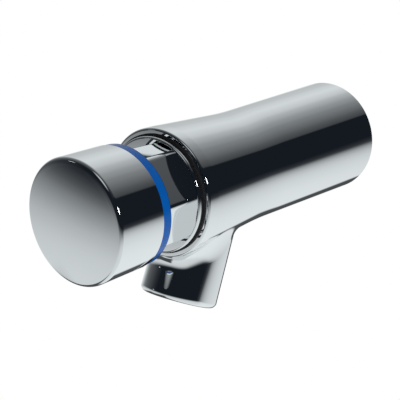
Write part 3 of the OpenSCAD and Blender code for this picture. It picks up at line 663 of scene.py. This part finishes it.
def fillet_row(angle):
    """Points across the fillet in one direction round the spout, with one deep point that closes it."""
    radius = fillet_radius(angle)
    out = SIDE * math.cos(angle) + SPOUT_FORE * math.sin(angle)
    normal = (out + SPOUT_UP * SPOUT_TAPER).normalized()
    low, high = 0.0, 34.0
    for _ in range(26):
        up = (low + high) / 2
        ball = OUTLET + SPOUT_UP * up + out * (LIP_R - SPOUT_TAPER * up) + normal * radius
        gap, touch = nearest_on_body(ball)
        low, high = (up, high) if gap > radius else (low, up)
    a, b = -normal, (touch - ball).normalized()
    bend = a.angle(b)
    row = [ball + radius * (a * math.sin((1 - k / FILLET_ARC) * bend) + b * math.sin(k / FILLET_ARC * bend))
           / math.sin(bend) for k in range(FILLET_ARC + 1)]
    deep = ball + (a + b).normalized() * (radius / math.cos(bend / 2) + 1.0)
    return [p * MM for p in row + [deep]]


rows = [fillet_row(math.tau * i / FILLET_ROWS) for i in range(FILLET_ROWS)]
width = len(rows[0])
quads = [(i * width + j, i * width + (j + 1) % width,
          (i + 1) % FILLET_ROWS * width + (j + 1) % width, (i + 1) % FILLET_ROWS * width + j)
         for i in range(FILLET_ROWS) for j in range(width)]
mesh = bpy.data.meshes.new("root_fillet")
mesh.from_pydata([p for row in rows for p in row], [], quads)
root_fillet = bpy.data.objects.new("root_fillet", mesh)
scene.collection.objects.link(root_fillet)
bpy.ops.object.select_all(action="DESELECT")
root_fillet.select_set(True)
bpy.context.view_layer.objects.active = root_fillet
bpy.ops.object.mode_set(mode="EDIT")
bpy.ops.mesh.select_all(action="SELECT")
close_shell()
bpy.ops.object.shade_smooth_by_angle(angle=math.radians(28))
body = join([turned_body, spout, root_fillet], "tap_body")
finish_piece(body, chrome, "chrome", "tap", "body")

# %% [markdown]
# ## Head nut
# The head screws into the body. A round flange closes the joint, and a hexagon in front of it takes
# the key. The hexagon's outline is drawn corner by corner, filled and pulled forward, and its long
# edges are bevelled round by about a millimetre, which is what catches the light on a real nut.

# %% Hexagon and flange
HEX_ACROSS, HEX_TURN = 32, math.radians(6)
HEX_R = HEX_ACROSS / 2 / math.cos(math.radians(30))
HEX_BACK, HEX_FRONT, HEX_ROUND = 111.5, 128.5, 1.1


def hexagonal_bar(name, across, turned, back, front):
    """A bar along the axis, with its width across the flats and its two ends' distances from the wall."""
    radius = across / 2 / math.cos(math.radians(30))
    angles = [turned + k * math.tau / 6 for k in range(6)]
    corners = [Vector((radius * math.cos(a), -back, radius * math.sin(a))) * MM for a in angles]
    bar = trace(name, corners + corners[:1])
    bpy.ops.mesh.select_all(action="SELECT")
    bpy.ops.mesh.remove_doubles(threshold=MERGE)
    bpy.ops.mesh.edge_face_add()
    bpy.ops.mesh.extrude_region_move(TRANSFORM_OT_translate={"value": (0, -(front - back) * MM, 0)})
    close_shell()
    return bar


hexagon = hexagonal_bar("hexagon", HEX_ACROSS, HEX_TURN, HEX_BACK, HEX_FRONT)
depths = [vertex.co.y for vertex in hexagon.data.vertices]
long_edges = [e.index for e in hexagon.data.edges
              if abs(depths[e.vertices[0]] - depths[e.vertices[1]]) > 10 * MM]
bpy.ops.object.mode_set(mode="EDIT")
bpy.ops.mesh.select_mode(type="EDGE")
bpy.ops.mesh.select_all(action="DESELECT")
bpy.ops.object.mode_set(mode="OBJECT")
for number in long_edges:
    hexagon.data.edges[number].select = True
bpy.ops.object.mode_set(mode="EDIT")
bpy.ops.mesh.bevel(offset=HEX_ROUND * MM, segments=8, profile=0.5)
bpy.ops.mesh.select_mode(type="VERT")
close_shell()
print("hexagon faces:", len(hexagon.data.polygons), "long edges:", len(long_edges))


FLANGE_R, FLANGE_BACK, FLANGE_FRONT = 20.8, 110.2, 112
SHANK_R, BUSH_R, GLAND_R = 18.9, 6.51, 6.61
CAGE_R, BUSH_AT, GLAND_AT = 13, 112.9, 124.9
chamfer = turn("hexagon_chamfer", [(0, HEX_BACK - 1), (HEX_R + 1, HEX_BACK - 1), (HEX_R + 1, HEX_FRONT - 1),
                                   (15.6, HEX_FRONT), (0, HEX_FRONT)], steps=96)
apply_boolean(hexagon, chamfer, "INTERSECT")
head = turn("head_nut_turned", [(0, SHANK_BACK), (SHANK_R, SHANK_BACK), (SHANK_R, FLANGE_BACK),
                                (FLANGE_R, FLANGE_BACK), (FLANGE_R, FLANGE_FRONT, 0.8), (0, FLANGE_FRONT)])
apply_boolean(head, hexagon, "UNION")
bores = turn("gland_bores", [(0, SHANK_BACK - 1), (CAGE_R, SHANK_BACK - 1), (CAGE_R, BUSH_AT), (BUSH_R, BUSH_AT),
                             (BUSH_R, GLAND_AT), (GLAND_R, GLAND_AT), (GLAND_R, HEX_FRONT + 1),
                             (0, HEX_FRONT + 1)], steps=96)
apply_boolean(head, bores, "DIFFERENCE")
bpy.ops.object.shade_smooth_by_angle(angle=math.radians(20))
finish_piece(head, chrome, "chrome", "tap", "head_nut")

# %% [markdown]
# ## Push button
# The button is a deep cap. Its face is a very flat dome, its edge is well rounded, and it is hollow,
# with a boss that takes the spindle. Its side steps down to a thin neck, and the coloured ring is a
# band that is pushed on this neck.

# %% Button and ring
BUTTON_R, NECK_R, STEP_AT, DOME_TOP = 21.5, 20.2, 130.4, 151.9
DOME_BALL, DOME_ROWS, BUTTON_ROUND = 120.3, 24, 1.4


def dome_place(radius):
    return DOME_TOP - DOME_BALL + math.sqrt(DOME_BALL ** 2 - radius ** 2)


dome_radii = [(BUTTON_R - BUTTON_ROUND) * (1 - k / DOME_ROWS) for k in range(1, DOME_ROWS)] + [0.0]
dome = [(r, dome_place(r)) for r in dome_radii]
edge_place = dome_place(21.3)
button = turn("push_button_cap",
              [(3.05, 140.5), (7, 140.5), (7, 147, 1), (19.3, 147, 1), (19.3, 126.8), (NECK_R, 126.8),
               (NECK_R, STEP_AT), (21.2, STEP_AT), (BUTTON_R, STEP_AT + 0.3),
               (BUTTON_R, edge_place, BUTTON_ROUND)]
              + dome + [(0, 146), (3.05, 146)])
finish_piece(button, chrome, "chrome", "plunger", "push_button")
colour_ring = turn("colour_ring", [(NECK_R + 0.05, 126.6), (21.2, 126.6, 0.3), (21.2, STEP_AT),
                                   (NECK_R + 0.05, STEP_AT)])
finish_piece(colour_ring, ring_blue, "blue_ring", "plunger", "indicator_ring")

# %% [markdown]
# ## Return spring
# The spring that closes the tap is one wound wire with closed end turns, so that it stands square. Its
# centre line is drawn point by point round the axis, made a curve and given the wire's thickness.

# %% Wind the spring
SPRING_R, WIRE, SPRING_BACK, SPRING_FRONT = 6.6, 1.3, 29.29, 48.01
SPRING_TURNS, TURN_POINTS, CLOSED_RISE = 6, 28, 1.36

OPEN_TURNS = 4.0
extra_rise = (SPRING_FRONT - SPRING_BACK - WIRE - SPRING_TURNS * CLOSED_RISE) / OPEN_TURNS
centre_line, height = [], SPRING_BACK + WIRE / 2
for i in range(SPRING_TURNS * TURN_POINTS + 1):
    angle = math.tau * i / TURN_POINTS
    centre_line.append(Vector((SPRING_R * math.cos(angle), -height, SPRING_R * math.sin(angle))) * MM)
    middle = (i + 0.5) / TURN_POINTS
    opened = ease((middle - 0.75) / 0.5) * ease((SPRING_TURNS - 0.75 - middle) / 0.5)
    height += (CLOSED_RISE + extra_rise * opened) / TURN_POINTS
spring = trace("wound_spring", centre_line)
bpy.ops.object.mode_set(mode="OBJECT")
bpy.ops.object.convert(target="CURVE")
spring = bpy.context.active_object
spring.data.dimensions = "3D"
spring.data.bevel_depth, spring.data.bevel_resolution = WIRE / 2 * MM, 4
spring.data.use_fill_caps = True
bpy.ops.object.convert(target="MESH")
spring = bpy.context.active_object
bpy.ops.object.mode_set(mode="EDIT")
close_shell()
bpy.ops.object.shade_smooth_by_angle(angle=math.radians(50))
finish_piece(spring, steel, "steel", "tap", "return_spring")
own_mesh(spring)

# %% [markdown]
# ## Inlet nipple
# The brass nipple screws into the wall fitting and carries the body. Its pipe thread has fourteen turns
# to the inch, with rounded crests and roots. The blank is turned first, with close rows along both
# threads. Then each point of these rows sinks by its place on the helix, the threads run out at the
# collar, and a key socket is cut into the end that faces the wall.

# %% Nipple blank
PITCH, THREAD_DEPTH, THREAD_R = 1.814, 1.162, 10.4775
WALL_END, COLLAR_BACK, COLLAR_FRONT, BODY_END = -9.0, 1.5, 6.0, 19.0
ROWS_PER_PITCH = 14


def thread_rows(start, end):
    count = math.ceil((end - start) / PITCH * ROWS_PER_PITCH)
    return [(THREAD_R, start + (end - start) * k / count) for k in range(count + 1)]


nipple = turn("threaded_nipple", thread_rows(WALL_END, COLLAR_BACK)
              + [(13.5, COLLAR_BACK, 0.4), (13.5, COLLAR_FRONT, 0.4)] + thread_rows(COLLAR_FRONT, BODY_END)
              + [(8.05, BODY_END), (8.05, 15.5), (6, 15.5), (6, WALL_END)], steps=96)

# %% Cut the threads
THREAD_CHAMFER = 0.8


def thread_radius(angle, from_wall):
    """Radius of the thread's surface at an angle round the axis and a distance from the wall."""
    near_wall = from_wall < (COLLAR_BACK + COLLAR_FRONT) / 2
    from_collar = COLLAR_BACK - from_wall if near_wall else from_wall - COLLAR_FRONT
    from_end = from_wall - WALL_END if near_wall else BODY_END - from_wall
    wave = 0.5 - 0.5 * math.cos(math.tau * from_wall / PITCH - angle)
    on_thread = THREAD_R - THREAD_DEPTH * wave * ease(from_collar / PITCH)
    return min(on_thread, THREAD_R - THREAD_CHAMFER + from_end)


for vertex in nipple.data.vertices:
    radius = math.hypot(vertex.co.x, vertex.co.z) / MM
    if abs(radius - THREAD_R) < 1e-3:
        share = thread_radius(math.atan2(vertex.co.z, vertex.co.x), -vertex.co.y / MM) / radius
        vertex.co.x, vertex.co.z = vertex.co.x * share, vertex.co.z * share
SOCKET_ACROSS, SOCKET_DEPTH = 13, 8
socket = hexagonal_bar("key_socket", SOCKET_ACROSS, 0.0, WALL_END - 1, WALL_END + SOCKET_DEPTH)
apply_boolean(nipple, socket, "DIFFERENCE")
bpy.ops.object.shade_smooth_by_angle(angle=math.radians(50))
finish_piece(nipple, brass, "brass", "tap", "inlet_nipple")

# %% [markdown]
# ## Sizes
# The dressed tap must not outgrow its solids. This last cell only clears the selection.

# %% Sizes and finish
bpy.ops.object.select_all(action="DESELECT")
